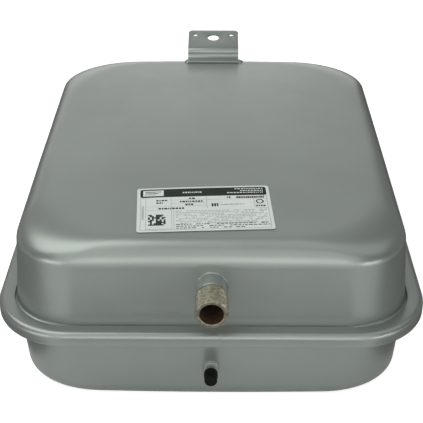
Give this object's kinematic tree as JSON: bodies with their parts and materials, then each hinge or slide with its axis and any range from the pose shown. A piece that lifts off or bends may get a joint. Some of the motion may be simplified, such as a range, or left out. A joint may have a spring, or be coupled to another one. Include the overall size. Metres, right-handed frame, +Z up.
{
  "type": "expansion vessel",
  "caption": "Flat rectangular diaphragm expansion vessel with a threaded water nipple, a capped gas charging valve and a welded hanging bracket.",
  "frame": {"origin": "centre of the gas shell's flat bottom face, which the vessel rests on", "axes": "+X to the right, +Y from the nipple end towards the bracket, +Z up through the domed water shell"},
  "size_m": [0.36, 0.4715, 0.1739],
  "materials": {
    "grey_enamel": "semi-gloss grey stoving enamel with a faint metallic sheen",
    "diaphragm_rubber": "matt black moulded rubber",
    "zinc_plated_steel": "yellowish zinc plate, dulled, with turned thread marks",
    "valve_brass": "turned brass",
    "seal_rubber": "smooth black rubber",
    "spring_steel": "drawn spring wire",
    "cap_plastic": "moulded black plastic, satin",
    "label_film": "printed film label, satin"
  },
  "bodies": {
    "vessel": {"water_shell": "grey_enamel", "water_flange": "grey_enamel", "gas_shell": "grey_enamel", "gas_flange": "grey_enamel", "clench_ring": "grey_enamel", "clench_ring_weld": "grey_enamel", "diaphragm_skirt": "diaphragm_rubber", "water_nipple": "zinc_plated_steel", "nipple_weld": "grey_enamel", "valve_body": "grey_enamel", "valve_weld": "grey_enamel", "valve_core_housing": "valve_brass", "valve_core_gasket": "seal_rubber", "valve_core_spring": "spring_steel", "mounting_bracket": "grey_enamel", "bracket_weld_left": "grey_enamel", "bracket_weld_right": "grey_enamel", "rating_label": "label_film"},
    "diaphragm": {"diaphragm_crown": "diaphragm_rubber"},
    "valve_pin": {"valve_core_pin": "valve_brass", "valve_core_seal": "seal_rubber"},
    "cap_seal": {"valve_cap_gasket": "seal_rubber"},
    "cap": {"valve_cap": "cap_plastic"}
  },
  "joints": [
    {"name": "diaphragm_travel", "type": "slide", "parent": "vessel", "child": "diaphragm", "axis": [0, 0, 1], "range_m": [-0.135, 0], "stiffness_N_per_m": 20, "springref_m": 0.16, "deforming": ["diaphragm_skirt"]},
    {"name": "valve_pin_press", "type": "slide", "parent": "vessel", "child": "valve_pin", "axis": [0, 1, 0], "range_m": [0, 0.0013], "stiffness_N_per_m": 300, "springref_m": -0.003, "deforming": ["valve_core_spring"]},
    {"name": "cap_travel", "type": "slide", "parent": "vessel", "child": "cap_seal", "axis": [0, -1, 0], "range_m": [0, 0.00714]},
    {"name": "cap_turn", "type": "hinge", "parent": "cap_seal", "child": "cap", "pos_m": [0.0004, -0.2139, 0.0401], "axis": [0, -1, 0], "range_deg": [0, 3240]}
  ],
  "couplings": [
    {"joint": "cap_turn", "follows": "cap_travel", "rad_per_m": 7913.4}
  ]
}
